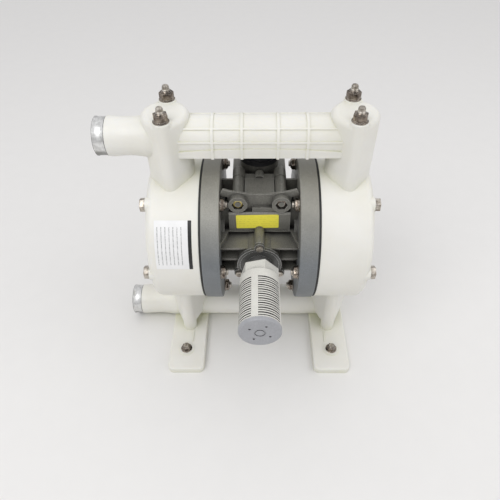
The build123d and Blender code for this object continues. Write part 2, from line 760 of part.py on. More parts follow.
# ---------------------------------------------------------------- exhaust and silencer
def exhaust_flange():
    """Flange with a raised rim, three screw lobes and the silencer's socket."""
    front = exhaust_face_y - flange_t
    body = cyl_y(exhaust_face_y, front, flange_r, 0, exhaust_z)
    body -= cyl_y(front + flange_lip_t, front - over, flange_r - flange_lip, 0, exhaust_z)
    body += [cyl_y(exhaust_face_y, front, screw_lobe_r, x, z) for x, z in screw_places]
    body += cyl_y(exhaust_face_y, silencer_hex_y, silencer_neck_r, 0, exhaust_z)
    body -= cyl_y(exhaust_face_y + over, silencer_hex_y - over, silencer_tail_r, 0, exhaust_z)
    return body - [cyl_y(exhaust_face_y + over, front - over, screw_r + bolt_gap, x, z) for x, z in screw_places]


def exhaust_screws():
    """Round headed cross recess screws."""
    front = exhaust_face_y - flange_t
    head_face = front - screw_head_t
    screws = []
    for x, z in screw_places:
        screw = cyl_y(front, head_face, screw_head_r, x, z)
        screw += cyl_y(front, exhaust_face_y + screw_depth - over, screw_r, x, z)
        for dx, dz in ((cross_reach, cross_width / 2), (cross_width / 2, cross_reach)):
            screw -= block(x - dx, x + dx, head_face - over, head_face + cross_depth, z - dz, z + dz)
        screws.append(screw)
    return screws


def silencer_shell():
    """Hexagonal end, slotted tube and threaded tail, turned in its thread by silencer_turn."""
    hex_end = silencer_hex_y - silencer_hex_len
    tube_end = silencer_end_y + end_cap_t
    upright = Rot(90, 0, 0)
    body = Pos(0, silencer_hex_y, 0) * upright * hex_bar(silencer_hex_af, silencer_hex_len)
    body += cyl_y(hex_end, tube_end, silencer_r)
    body += cyl_y(silencer_hex_y, exhaust_face_y, silencer_tail_r - fit_gap)
    body -= cyl_y(hex_end - silencer_base, tube_end - over, silencer_r - silencer_wall)
    body -= cyl_y(exhaust_face_y + over, hex_end - silencer_base - over, tail_bore_r)
    strip = block(-slot_strip / 2, slot_strip / 2, hex_end, tube_end, 0, silencer_r + over)
    strips = fused(Rot(0, i * 360 / slot_columns, 0) * strip for i in range(slot_columns))
    rings = []
    for i in range(slot_count):
        width = slot_widths[i % len(slot_widths)]
        ring = Cylinder(silencer_r + over, width) - Cylinder(silencer_r - silencer_wall - over, width)
        rings.append(Pos(0, slot_first_y - slot_pitch * i, 0) * upright * ring)
    body -= fused(rings) - strips
    return Pos(0, 0, exhaust_z) * Rot(0, -silencer_turn, 0) * body


def silencer_element():
    r_out = silencer_r - silencer_wall - element_gap
    start = silencer_hex_y - silencer_hex_len - silencer_base - fit_gap
    end = silencer_end_y + end_cap_t + fit_gap
    return cyl_y(start, end, r_out, 0, exhaust_z) - cyl_y(start - element_floor, end - over,
                                                          r_out - element_wall, 0, exhaust_z)


def silencer_end_cap():
    """End cap with a rounded edge, four moulded notches and a ring mark."""
    cap = Rot(90, 0, 0) * extrude(Circle(silencer_r + end_cap_lip), end_cap_t)
    cap = fillet(cap.faces().sort_by(Axis.Y)[0].edges(), end_cap_edge)
    for x, z in ring_points(notch_circle_r, notch_count, notch_start):
        cap -= cyl_y(-end_cap_t - over, notch_depth - end_cap_t, notch_r, x, z)
    mark = cyl_y(-end_cap_t - over, mark_depth - end_cap_t, mark_out_r)
    cap -= mark - cyl_y(-end_cap_t - 2 * over, 0, mark_in_r)
    return Pos(0, silencer_end_y + end_cap_t, exhaust_z) * Rot(0, -silencer_turn, 0) * cap


# ---------------------------------------------------------------- air valve
spool_low_z = valve_bottom_z - spool_drop + stop_gap


def valve_body():
    """Valve housing: lower part behind the gasket, upper part forward to the seam, round tower on top."""
    body = block(-valve_half_x, valve_half_x, valve_front_y, valve_back_y, valve_bottom_z, valve_shoulder_z)
    body += block(-valve_half_x, valve_half_x, seam_y + valve_plate_t, valve_front_y + over, valve_neck_z,
                  valve_shoulder_z - valve_edge)
    body = fillet(body.edges().filter_by(Axis.Z).sort_by(Axis.Y)[-2:], valve_corner)
    body += block(-valve_plate_half_x, valve_plate_half_x, seam_y, seam_y + valve_plate_t + over,
                  valve_neck_z, valve_plate_top_z)
    body += cyl_z(valve_shoulder_z - over, valve_top_z, valve_tower_r, 0, valve_y)
    for x in (-tie_x, tie_x):
        body += cyl_y(seam_y, tie_head_y, tie_rear_r, x, tie_z)
    body += cyl_y(seam_y + over, pilot_boss_y, pilot_boss_r, 0, pilot_boss_z)
    body += cyl_y(valve_back_y - over, valve_back_y + inlet_boss_t, inlet_boss_r, 0, inlet_z)
    body -= cyl_z(valve_bottom_z - over, valve_top_z + over, sleeve_out_r + fit_gap, 0, valve_y)
    body -= cyl_y(valve_back_y + inlet_boss_t + over, valve_y + sleeve_in_r, inlet_r + inlet_wall, 0, inlet_z)
    return body - [cyl_y(seam_y - over, tie_head_y + over, tie_bolt_r + bolt_gap, x, tie_z)
                   for x in (-tie_x, tie_x)]


def valve_gasket():
    return block(-valve_half_x, valve_half_x, valve_front_y - gasket_t, valve_front_y, rear_plate_bottom_z,
                 rear_plate_top_z)


def valve_cap_upper():
    """Black end cap with a wider rim and a wrench slot."""
    cap = extrude(Circle(valve_cap_r - cap_step), valve_cap_top_z - valve_top_z)
    cap = fillet(cap.faces().sort_by(Axis.Z)[-1].edges(), valve_cap_edge)
    cap += extrude(Circle(valve_cap_r), cap_rim_h)
    cap -= block(-valve_cap_r, valve_cap_r, -cap_slot_w / 2, cap_slot_w / 2,
                 valve_cap_top_z - valve_top_z - cap_slot_depth, valve_cap_top_z)
    cap = Pos(0, valve_y, valve_top_z) * cap
    room_top = spool_low_z + spool_len + spool_travel + stop_gap
    return cap - cyl_z(valve_top_z - over, room_top, sleeve_in_r + over, 0, valve_y)


def valve_cap_lower():
    cap = cyl_z(low_cap_z, valve_bottom_z, valve_cap_r - cap_step, 0, valve_y)
    return cap - cyl_z(spool_low_z - stop_gap, valve_bottom_z + over, sleeve_in_r + over, 0, valve_y)


def valve_sleeve():
    sleeve = cyl_z(valve_bottom_z, valve_top_z, sleeve_out_r, 0, valve_y)
    return sleeve - cyl_z(valve_bottom_z - over, valve_top_z + over, sleeve_in_r + running_gap, 0, valve_y)


def valve_spool():
    z0 = spool_low_z
    spool = cyl_z(z0, z0 + spool_len, spool_waist_r, 0, valve_y)
    starts = [z0, z0 + (spool_len - spool_land) / 2, z0 + spool_len - spool_land]
    return spool + [cyl_z(z, z + spool_land, sleeve_in_r, 0, valve_y) for z in starts]


def valve_tie_bolts():
    bolts = []
    for x in (-tie_x, tie_x):
        bolt = cyl_y(tie_boss_front_y + tie_bolt_short, tie_head_y, tie_bolt_r, x, tie_z)
        bolts.append(bolt + Pos(x, tie_head_y, tie_z) * Rot(-90, 0, 0) * hex_bar(tie_nut_af, head_t))
    return bolts


def valve_tie_nuts():
    nuts = []
    for x in (-tie_x, tie_x):
        pocket_floor = tie_boss_front_y + pocket_depth
        nut = Pos(x, pocket_floor, tie_z) * Rot(90, 0, 0) * hex_bar(tie_nut_af, tie_nut_t)
        nuts.append(nut - cyl_y(tie_boss_front_y - over, pocket_floor + over, tie_bolt_r + fit_gap, x, tie_z))
    return nuts


def air_inlet_bushing():
    seat_y = valve_back_y + inlet_boss_t
    end_y = seat_y + inlet_hex_t
    body = Pos(0, seat_y, inlet_z) * Rot(-90, 0, 0) * hex_bar(inlet_hex_af, inlet_hex_t)
    body += cyl_y(valve_back_y - inlet_engage, seat_y, inlet_r + inlet_wall - fit_gap, 0, inlet_z)
    return body - cyl_y(valve_back_y - inlet_engage - over, end_y + over, inlet_r, 0, inlet_z)


# ---------------------------------------------------------------- moving core
def center_rod():
    x1 = ring_out_x - disc_t
    rod = cyl_x(-x1, x1, rod_r)
    return rod - [cyl_x(s * x1, s * (x1 - stem_depth - over), stem_r + fit_gap) for s in sides]


def inner_disc(side):
    x0 = ring_out_x - disc_t
    outline = [(x0, stem_r + fit_gap), (x0, disc_hub_r), (x0 + disc_t / 2, inner_disc_r),
               (ring_out_x, inner_disc_r), (ring_out_x, stem_r + fit_gap)]
    return side_mirror(turn_x(outline), side)


def outer_disc(side):
    x0 = ring_out_x + diaphragm_t
    x1 = x0 + outer_disc_t
    body = cyl_x(x0, x1, clamp_r)
    dome = Polyline([(x1, 0, 0), (x1, clamp_r, 0)])
    arc = ThreePointArc((x1, clamp_r, 0), (x0 + dome_t * dome_shoulder, clamp_r / 2, 0), (x0 + dome_t, 0, 0))
    close = Line((x0 + dome_t, 0, 0), (x1, 0, 0))
    body += revolve(make_face([dome, arc, close]), Axis.X)
    body += cyl_x(x0, ring_out_x - disc_t - stem_depth, stem_r)
    return side_mirror(body, side)


def bushing_pair(outer_r, inner_r, z=0.0):
    """One bushing in each end of the centre body."""
    bushes = []
    for s in sides:
        tube = cyl_x(s * ring_in_x, s * (ring_in_x - bushing_len), outer_r, 0, z)
        bore = cyl_x(s * (ring_in_x + over), s * (ring_in_x - bushing_len - over), inner_r, 0, z)
        bushes.append(tube - bore)
    return bushes


def pilot_rod():
    reach = ring_in_x + ring_wall + pilot_reach
    return cyl_x(-reach, reach, pilot_r, 0, pilot_z)


nodes = {
    "center_body": center_body(),
    "discharge_manifold": discharge_manifold(),
    "suction_manifold": suction_manifold(),
    "port_band_discharge": port_band(discharge_end_x, discharge_z),
    "port_band_suction": port_band(suction_end_x, suction_z),
    "seat_seals": seat_seals(),
    "discharge_studs": discharge_studs(),
    "discharge_nuts": discharge_nuts(),
    "suction_bolts": suction_bolts(),
    "foot_bolts": foot_bolts(),
    "foot_nuts": foot_nuts(),
    "exhaust_flange": exhaust_flange(),
    "exhaust_screws": exhaust_screws(),
    "silencer_shell": silencer_shell(),
    "silencer_element": silencer_element(),
    "silencer_end_cap": silencer_end_cap(),
    "valve_body": valve_body(),
    "valve_gasket": valve_gasket(),
    "valve_cap_upper": valve_cap_upper(),
    "valve_cap_lower": valve_cap_lower(),
    "valve_sleeve": valve_sleeve(),
    "valve_spool": valve_spool(),
    "valve_tie_bolts": valve_tie_bolts(),
    "valve_tie_nuts": valve_tie_nuts(),
    "air_inlet_bushing": air_inlet_bushing(),
    "center_rod": center_rod(),
    "rod_bushings": bushing_pair(rod_r + bushing_wall, rod_r + running_gap),
    "pilot_rod": pilot_rod(),
    "pilot_bushings": bushing_pair(pilot_bush_r, pilot_r + running_gap, pilot_z),
}
for label, side in (("left", -1), ("right", 1)):
    nodes["air_chamber_" + label] = air_chamber(side)
    nodes["diaphragm_" + label] = diaphragm(side)
    nodes["liquid_chamber_" + label] = liquid_chamber(side)
    nodes["chamber_bolts_" + label] = chamber_bolts(side)
    nodes["chamber_nuts_" + label] = chamber_nuts(side)
    nodes["foot_" + label] = foot(side)
    nodes["inner_disc_" + label] = inner_disc(side)
    nodes["outer_disc_" + label] = outer_disc(side)
    for valve, z_joint in (("discharge", joint_z), ("suction", -joint_z)):
        nodes[valve + "_seat_" + label] = valve_seat(side, z_joint)
        nodes[valve + "_ball_" + label] = check_ball(side, z_joint)

os.makedirs("parts", exist_ok=True)
lift = Pos(0, 0, axis_height)
for name, shape in nodes.items():
    pieces = shape if isinstance(shape, list) else [shape]
    export_step(Compound(children=[lift * piece for piece in pieces]), "parts/" + name + ".step")
print(len(nodes), "nodes written")
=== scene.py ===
import bpy
import bmesh
import json
import math
from mathutils import Matrix, Vector


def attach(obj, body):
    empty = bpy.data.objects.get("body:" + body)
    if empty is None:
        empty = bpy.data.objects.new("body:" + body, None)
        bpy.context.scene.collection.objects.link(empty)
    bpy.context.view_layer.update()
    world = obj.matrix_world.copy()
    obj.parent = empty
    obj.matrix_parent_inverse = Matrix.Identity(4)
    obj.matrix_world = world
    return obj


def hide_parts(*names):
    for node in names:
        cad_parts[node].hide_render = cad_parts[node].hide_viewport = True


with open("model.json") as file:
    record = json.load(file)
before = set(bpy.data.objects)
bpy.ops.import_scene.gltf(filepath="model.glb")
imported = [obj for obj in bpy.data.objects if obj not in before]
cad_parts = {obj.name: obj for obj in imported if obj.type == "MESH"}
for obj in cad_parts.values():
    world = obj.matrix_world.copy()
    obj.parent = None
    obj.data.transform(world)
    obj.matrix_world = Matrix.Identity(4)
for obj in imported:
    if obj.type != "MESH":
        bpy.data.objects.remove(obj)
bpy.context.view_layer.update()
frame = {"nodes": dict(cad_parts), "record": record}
nodes = frame["nodes"]
print("frame loaded,", len(nodes), "nodes")

mm = 0.001  # pieces are shaped in millimetres, the scene is in metres
axisHeight = 210.0  # chamber axis above the floor
tolerance = {"weld": 0.001, "nodeWeld": 0.002, "level": 0.01, "cut": 0.0001, "upright": 0.9}


# node material helpers
def newMaterial(name):
    mat = bpy.data.materials.new(name)
    mat.use_nodes = True
    tree = mat.node_tree
    coords = tree.nodes.new("ShaderNodeTexCoord")
    return mat, tree, tree.nodes["Principled BSDF"], coords


def noiseNode(tree, vector, scale, detail=3.0, roughness=0.55):
    node = tree.nodes.new("ShaderNodeTexNoise")
    node.inputs["Scale"].default_value = scale
    node.inputs["Detail"].default_value = detail
    node.inputs["Roughness"].default_value = roughness
    tree.links.new(vector, node.inputs["Vector"])
    return node.outputs["Fac"]


def mapRange(tree, value, low, high, toLow, toHigh):
    node = tree.nodes.new("ShaderNodeMapRange")
    node.inputs["From Min"].default_value = low
    node.inputs["From Max"].default_value = high
    node.inputs["To Min"].default_value = toLow
    node.inputs["To Max"].default_value = toHigh
    tree.links.new(value, node.inputs["Value"])
    return node.outputs["Result"]


def mixColour(tree, factor, first, second):
    node = tree.nodes.new("ShaderNodeMix")
    node.data_type = "RGBA"
    tree.links.new(factor, node.inputs["Factor"])
    for name, colour in (("A", first), ("B", second)):
        socket = [s for s in node.inputs if s.name == name and s.type == "RGBA"][0]
        if isinstance(colour, tuple):
            socket.default_value = (*colour, 1.0)
        else:
            tree.links.new(colour, socket)
    return [s for s in node.outputs if s.type == "RGBA"][0]


def multiplyColour(tree, first, second):
    node = tree.nodes.new("ShaderNodeVectorMath")
    node.operation = "MULTIPLY"
    tree.links.new(first, node.inputs[0])
    tree.links.new(second, node.inputs[1])
    return node.outputs["Vector"]


def mathNode(tree, operation, first, second=0.0):
    node = tree.nodes.new("ShaderNodeMath")
    node.operation = operation
    for socket, value in zip(node.inputs, (first, second)):
        if isinstance(value, (int, float)):
            socket.default_value = value
        else:
            tree.links.new(value, socket)
    return node.outputs["Value"]


def axisOf(tree, coords, axis):
    node = tree.nodes.new("ShaderNodeSeparateXYZ")
    tree.links.new(coords.outputs["Object"], node.inputs["Vector"])
    return node.outputs[axis]


def addBump(tree, shader, height, strength, distance):
    node = tree.nodes.new("ShaderNodeBump")
    node.inputs["Strength"].default_value = strength
    node.inputs["Distance"].default_value = distance
    tree.links.new(height, node.inputs["Height"])
    tree.links.new(node.outputs["Normal"], shader.inputs["Normal"])


masks = {"samples": 4, "edgeSpan": (0.80, 0.99), "cornerShadeSpan": (0.25, 0.85)}


def edgeWearAndHighlightMask(tree, radius):
    bevel = tree.nodes.new("ShaderNodeBevel")  # worn edges, lightened also as a painted highlight
    bevel.samples = masks["samples"]
    bevel.inputs["Radius"].default_value = radius
    geometry = tree.nodes.new("ShaderNodeNewGeometry")
    dot = tree.nodes.new("ShaderNodeVectorMath")
    dot.operation = "DOT_PRODUCT"
    tree.links.new(bevel.outputs["Normal"], dot.inputs[0])
    tree.links.new(geometry.outputs["Normal"], dot.inputs[1])
    return mapRange(tree, dot.outputs["Value"], *masks["edgeSpan"], 1.0, 0.0)


def cornerShadeMask(tree, distance, span=masks["cornerShadeSpan"]):
    node = tree.nodes.new("ShaderNodeAmbientOcclusion")  # painted shade in the corners and hollows
    node.samples = masks["samples"]
    node.inputs["Distance"].default_value = distance
    return mapRange(tree, node.outputs["AO"], *span, 1.0, 0.0)


# the housing's milky plastic: clouded, with a painted green-tinted shade in its corners
plasticLook = {
    "pale": (0.81, 0.80, 0.755), "warm": (0.77, 0.755, 0.69), "paintedCornerShade": (0.68, 0.68, 0.53), "cornerShadeReach": 0.03,
    "cloudScale": 14.0, "cloudDetail": 4.0, "cloudSpan": (0.35, 0.7),
    "grainScale": 420.0, "grainDetail": 2.0, "grainSpan": (0.3, 0.7),
    "rough": (0.32, 0.48), "bump": 0.12, "bumpDepth": 0.0004,
    "glow": 0.15, "glowRadius": (0.012, 0.011, 0.008), "glowScale": 0.5,
}


def mouldedPlastic():
    look = plasticLook
    mat, tree, shader, coords = newMaterial("mouldedPlastic")
    place = coords.outputs["Object"]
    cloud = noiseNode(tree, place, look["cloudScale"], look["cloudDetail"])
    colour = mixColour(tree, mapRange(tree, cloud, *look["cloudSpan"], 0.0, 1.0), look["pale"], look["warm"])
    # painted shade: corners and hollows darkened towards green
    colour = mixColour(tree, cornerShadeMask(tree, look["cornerShadeReach"]), colour, look["paintedCornerShade"])
    tree.links.new(colour, shader.inputs["Base Color"])
    grain = noiseNode(tree, place, look["grainScale"], look["grainDetail"])
    tree.links.new(mapRange(tree, grain, *look["grainSpan"], *look["rough"]), shader.inputs["Roughness"])
    addBump(tree, shader, grain, look["bump"], look["bumpDepth"])
    shader.inputs["Subsurface Weight"].default_value = look["glow"]
    shader.inputs["Subsurface Radius"].default_value = look["glowRadius"]
    shader.inputs["Subsurface Scale"].default_value = look["glowScale"]
    return mat


# what the flecked finishes share; each one's own look may change any of it
fleckedBase = {
    "cloudScale": 22.0, "stainAmount": 0.5, "cornerShadeSpan": masks["cornerShadeSpan"], "metallic": 0.0,
    "fleckDetail": 3.0, "fleckRoughness": 0.7, "fleckSpan": (0.35, 0.68), "cloudSpan": (0.45, 0.75),
    "roughSpan": (0.3, 0.7), "bumpDepth": 0.0003, "stainShade": 0.8,
}


def flecked(name, ownLook):
    look = dict(fleckedBase, **ownLook)
    mat, tree, shader, coords = newMaterial(name)
    place = coords.outputs["Object"]
    speck = noiseNode(tree, place, look["speckScale"], look["fleckDetail"], look["fleckRoughness"])
    cloud = noiseNode(tree, place, look["cloudScale"])
    colour = mixColour(tree, mapRange(tree, speck, *look["fleckSpan"], 0.0, 1.0), look["dark"], look["light"])
    stain = look.get("stain", tuple(look["stainShade"] * c for c in look["dark"]))
    stained = mapRange(tree, cloud, *look["cloudSpan"], 0.0, look["stainAmount"])
    colour = mixColour(tree, stained, colour, stain)
    # light edges: partly wear, partly a painted highlight
    if "edge" in look:
        colour = mixColour(tree, edgeWearAndHighlightMask(tree, look["edgeWidth"]), colour, look["edge"])
    # painted shade: corners and hollows darkened through ambient occlusion
    if "cornerShadeColour" in look:
        paintedCornerShade = cornerShadeMask(tree, look["cornerShadeReach"], look["cornerShadeSpan"])
        colour = mixColour(tree, paintedCornerShade, colour, look["cornerShadeColour"])
    # painted shade: the lower side darker and bluer
    if "lowerSideShade" in look:
        lower = mapRange(tree, axisOf(tree, coords, "Z"), *look["lowerSideShadeSpan"], 1.0, 0.0)
        colour = multiplyColour(tree, colour, mixColour(tree, lower, (1.0, 1.0, 1.0), look["lowerSideShade"]))
    tree.links.new(colour, shader.inputs["Base Color"])
    tree.links.new(mapRange(tree, speck, *look["roughSpan"], *look["rough"]), shader.inputs["Roughness"])
    shader.inputs["Metallic"].default_value = look["metallic"]
    addBump(tree, shader, speck, look["bump"], look["bumpDepth"])
    return mat


# the ring's lower side gets a painted bluish shade
ringLook = {
    "dark": (0.255, 0.25, 0.22), "light": (0.37, 0.36, 0.32), "speckScale": 900.0, "metallic": 0.2,
    "rough": (0.34, 0.5), "bump": 0.18, "edge": (0.50, 0.49, 0.45), "edgeWidth": 0.0007,
    "lowerSideShade": (0.62, 0.68, 0.81), "lowerSideShadeSpan": (0.235, 0.30),
}
bodyLook = {
    "dark": (0.125, 0.122, 0.108), "light": (0.285, 0.278, 0.245), "speckScale": 800.0, "metallic": 0.2,
    "rough": (0.34, 0.52), "bump": 0.3, "edge": (0.50, 0.49, 0.46), "edgeWidth": 0.0010,
    "cornerShadeColour": (0.026, 0.025, 0.022), "cornerShadeReach": 0.014,
}
flangeLook = {
    "dark": (0.085, 0.085, 0.082), "light": (0.17, 0.17, 0.16), "speckScale": 800.0, "metallic": 0.3,
    "rough": (0.28, 0.44), "bump": 0.2, "edge": (0.85, 0.85, 0.83), "edgeWidth": 0.0012,
    "cornerShadeColour": (0.03, 0.03, 0.027), "cornerShadeReach": 0.006,
}
steelLook = {
    "dark": (0.075, 0.055, 0.042), "light": (0.42, 0.36, 0.30), "speckScale": 170.0, "metallic": 0.95,
    "rough": (0.10, 0.26), "bump": 0.1, "edge": (0.92, 0.89, 0.84), "edgeWidth": 0.0005,
    "stain": (0.035, 0.026, 0.02), "stainAmount": 0.85, "cloudScale": 90.0,
}
paleSteelLook = {
    "dark": (0.34, 0.30, 0.25), "light": (0.66, 0.62, 0.56), "speckScale": 170.0, "metallic": 0.9,
    "rough": (0.24, 0.42), "bump": 0.08, "stain": (0.10, 0.075, 0.055), "stainAmount": 0.8,
    "cloudScale": 110.0, "edge": (0.85, 0.83, 0.79), "edgeWidth": 0.0005,
}
bandLook = {
    "dark": (0.62, 0.62, 0.61), "light": (0.86, 0.86, 0.85), "speckScale": 260.0, "metallic": 0.9,
    "rough": (0.18, 0.34), "bump": 0.06, "stain": (0.25, 0.25, 0.24), "stainAmount": 0.6, "cloudScale": 45.0,
}
brassLook = {
    "dark": (0.45, 0.36, 0.12), "light": (0.78, 0.66, 0.30), "speckScale": 300.0, "metallic": 0.8,
    "rough": (0.25, 0.42), "bump": 0.08,
}
capLook = {
    "dark": (0.012, 0.012, 0.014), "light": (0.028, 0.028, 0.032), "speckScale": 700.0,
    "rough": (0.32, 0.48), "bump": 0.1,
}
rubberLook = {
    "dark": (0.012, 0.012, 0.012), "light": (0.03, 0.03, 0.03), "speckScale": 500.0,
    "rough": (0.55, 0.7), "bump": 0.1,
}
# painted shade darkens the slots of the silencer
silencerLook = {
    "dark": (0.66, 0.65, 0.605), "light": (0.75, 0.74, 0.69), "speckScale": 600.0,
    "rough": (0.4, 0.55), "bump": 0.12, "cornerShadeColour": (0.018, 0.018, 0.018), "cornerShadeReach": 0.009,
    "cornerShadeSpan": (0.60, 0.975),
}
silencerCapLook = {
    "dark": (0.33, 0.335, 0.355), "light": (0.41, 0.415, 0.435), "speckScale": 600.0,
    "rough": (0.38, 0.5), "bump": 0.12, "edge": (0.50, 0.50, 0.51), "edgeWidth": 0.0006,
    "cornerShadeColour": (0.02, 0.02, 0.021), "cornerShadeReach": 0.004,
}
insertLook = {
    "dark": (0.50, 0.50, 0.49), "light": (0.60, 0.60, 0.59), "speckScale": 600.0,
    "rough": (0.28, 0.36), "bump": 0.04,
}
feltLook = {
    "dark": (0.03, 0.03, 0.03), "light": (0.08, 0.08, 0.078), "speckScale": 1500.0,
    "rough": (0.8, 0.95), "bump": 0.6,
}

finishes = {
    "housing_plastic": mouldedPlastic(),
    "ring_metal": flecked("paintedRing", ringLook),
    "body_casting": flecked("bodyCasting", bodyLook),
    "fastener_steel": flecked("stainedSteel", steelLook),
    "band_steel": flecked("bandSteel", bandLook),
    "silencer_plastic": flecked("silencerPlastic", silencerLook),
    "cap_plastic": flecked("capPlastic", capLook),
    "rubber_black": flecked("blackRubber", rubberLook),
    "seat_plastic": flecked("seatPlastic", insertLook),
    "ball_plastic": flecked("ballPlastic", insertLook),
    "brass": flecked("machinedBrass", brassLook),
    "rod_steel": flecked("groundSteel", bandLook),
    "filter_felt": flecked("filterFelt", feltLook),
}
paleSteel = flecked("paleSteel", paleSteelLook)
ownFinish = {
    "silencer_end_cap": flecked("silencerCapPlastic", silencerCapLook),
    "valve_tie_bolts": finishes["body_casting"],
    "exhaust_flange": flecked("flangeCasting", flangeLook),
    "exhaust_screws": paleSteel,
}
slotOf = {part["node"]: part["material_slot"] for part in frame["record"]["subparts"]}
for name, obj in nodes.items():
    obj.data.materials.clear()
    obj.data.materials.append(ownFinish.get(name, finishes[slotOf[name]]))
print("finishes on", len(slotOf), "nodes")


# shape helpers, all in millimetres until finishPiece
def lathe(profile, steps=40, closed=False):
    bm = bmesh.new()
    verts = [bm.verts.new((radius, 0.0, height)) for radius, height in profile]
    ends = list(zip(verts, verts[1:])) + ([(verts[-1], verts[0])] if closed else [])
    edges = [bm.edges.new(pair) for pair in ends]
    bmesh.ops.spin(bm, geom=verts + edges, cent=(0, 0, 0), axis=(0, 0, 1), angle=2 * math.pi,
                   steps=steps, use_merge=True)
    bmesh.ops.remove_doubles(bm, verts=bm.verts, dist=tolerance["weld"])
    return bm


def raiseFaces(bm, height):
    raised = bmesh.ops.extrude_face_region(bm, geom=list(bm.faces))
    top = [item for item in raised["geom"] if isinstance(item, bmesh.types.BMVert)]
    bmesh.ops.translate(bm, verts=top, vec=(0, 0, height))


def roundEdges(bm, edges, offset, segments=2):
    bmesh.ops.bevel(bm, geom=edges, offset=offset, offset_type="OFFSET", segments=segments, profile=0.5,
                    affect="EDGES", material=-1)


def isUpright(edge):
    return abs((edge.verts[0].co - edge.verts[1].co).normalized().z) > tolerance["upright"]


def hexBlock(acrossFlats, low, high, crown=0.8, corner=0.35):
    bm = bmesh.new()
    bmesh.ops.create_circle(bm, cap_ends=True, segments=6, radius=acrossFlats / math.sqrt(3.0))
    raiseFaces(bm, high - low)
    bmesh.ops.translate(bm, verts=bm.verts, vec=(0, 0, low))
    rim = [e for e in bm.edges if all(v.co.z > high - tolerance["level"] for v in e.verts)]
    roundEdges(bm, rim, crown)
    roundEdges(bm, [e for e in bm.edges if isUpright(e)], corner)
    return bm


threadShape = {"crest": 0.35, "root": 0.7}  # shares of the pitch


def threadProfile(radius, low, high, pitch, depth):
    points = []
    for i in range(max(1, int((high - low) / pitch))):
        base = low + i * pitch
        points += [(radius, base), (radius, base + threadShape["crest"] * pitch),
                   (radius - depth, base + threadShape["root"] * pitch)]
    return points


def addShape(target, shape, place):
    shape.transform(place)
    mesh = bpy.data.meshes.new("shape")
    shape.to_mesh(mesh)
    shape.free()
    target.from_mesh(mesh)
    bpy.data.meshes.remove(mesh)


def along(axis, place):
    turns = {"+Z": (0, "X"), "+X": (90, "Y"), "-X": (-90, "Y"), "-Y": (90, "X")}
    angle, about = turns[axis]
    return Matrix.Translation(place) @ Matrix.Rotation(math.radians(angle), 4, about)


def spun(degrees):
    return Matrix.Rotation(math.radians(degrees), 4, "Z")


def finishPiece(name, bm, finish, replaced=None, sharp=32.0, turnFaces=True):
    if turnFaces:
        bmesh.ops.recalc_face_normals(bm, faces=bm.faces)
    bmesh.ops.scale(bm, vec=(mm, mm, mm), verts=bm.verts)
    for face in bm.faces:
        face.smooth = True
    for edge in bm.edges:
        edge.smooth = not (len(edge.link_faces) == 2 and edge.calc_face_angle(0.0) > math.radians(sharp))
    mesh = bpy.data.meshes.new(name)
    bm.to_mesh(mesh)
    bm.free()
    mesh.materials.append(finish)
    obj = bpy.data.objects.new(name, mesh)
    bpy.context.scene.collection.objects.link(obj)
    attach(obj, "housing")
    if replaced:
        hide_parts(replaced)
    print("made", name, len(mesh.polygons), "faces")
    return obj


# slotted tube of the silencer: the nose from the frame's node, rings and long strips made here
silencer = {
    "outer": 27.45, "strip": 27.5, "inner": 24.0, "stripInner": 24.05, "axisZ": 215.0,
    "firstSlot": 133.0, "pitch": 3.69, "slots": 18, "widths": (1.9, 1.3), "noseEnd": 131.6, "end": 199.0,
    "stripWidth": 9.2, "columns": 4, "turn": 14.5, "ringLap": 0.2, "stripLap": 0.1, "stripShort": 0.05,
    "ringSteps": 96, "stripSteps": 8,
}


def wallBand(bm, inner, outer, low, high, start=0.0, sweep=360.0):
    part = bmesh.new()
    around = Matrix.Rotation(math.radians(start), 3, "Z")
    corners = [(inner, 0, low), (outer, 0, low), (outer, 0, high), (inner, 0, high)]
    verts = [part.verts.new(around @ Vector(corner)) for corner in corners]
    full = sweep == 360.0
    if full:
        geom = verts + [part.edges.new((verts[i], verts[(i + 1) % 4])) for i in range(4)]
    else:
        geom = [part.faces.new(verts)]
        geom += list(geom[0].edges) + verts
    bmesh.ops.spin(part, geom=geom, cent=(0, 0, 0), axis=(0, 0, 1), angle=math.radians(sweep),
                   steps=silencer["ringSteps"] if full else silencer["stripSteps"], use_merge=full)
    bmesh.ops.recalc_face_normals(part, faces=part.faces)
    addShape(bm, part, along("-Y", (0, 0, silencer["axisZ"])))


def makeSilencerTube():
    look = silencer
    bm = bmesh.new()
    bm.from_mesh(nodes["silencer_shell"].data)
    bmesh.ops.remove_doubles(bm, verts=bm.verts, dist=tolerance["nodeWeld"] * mm)
    bmesh.ops.scale(bm, vec=(1 / mm, 1 / mm, 1 / mm), verts=bm.verts)
    cut = bmesh.ops.bisect_plane(bm, geom=bm.verts[:] + bm.edges[:] + bm.faces[:], dist=tolerance["cut"],
                                 plane_co=(0, -look["noseEnd"], 0), plane_no=(0, -1, 0), clear_outer=True)
    rims = [item for item in cut["geom_cut"] if isinstance(item, bmesh.types.BMEdge)]
    bmesh.ops.bridge_loops(bm, edges=rims)
    low = look["noseEnd"] - look["ringLap"]
    for i in range(look["slots"]):
        middle = look["firstSlot"] + i * look["pitch"]
        half = 0.5 * look["widths"][i % len(look["widths"])]
        wallBand(bm, look["inner"], look["outer"], low, middle - half)
        low = middle + half
    wallBand(bm, look["inner"], look["outer"], low, look["end"])
    sweep = 2 * math.degrees(math.asin(0.5 * look["stripWidth"] / look["outer"]))
    for i in range(look["columns"]):
        middle = 90.0 + look["turn"] + i * 360.0 / look["columns"]
        wallBand(bm, look["stripInner"], look["strip"], look["noseEnd"] - look["stripLap"],
                 look["end"] - look["stripShort"], middle - 0.5 * sweep, sweep)
    finishPiece("silencerTube", bm, finishes["silencer_plastic"], "silencer_shell",
                turnFaces=False)


# a flange nut: rounded flange, hexagon and locking collar, standing on its flange at the origin
nutShape = {
    "boreGap": 0.1, "rim": ((0.3, 0.0), (0.0, 0.35), (0.0, 0.9), (0.5, 1.3)), "hexSink": 0.4,
    "collarSink": 0.3, "collarEdge": 0.7,
}


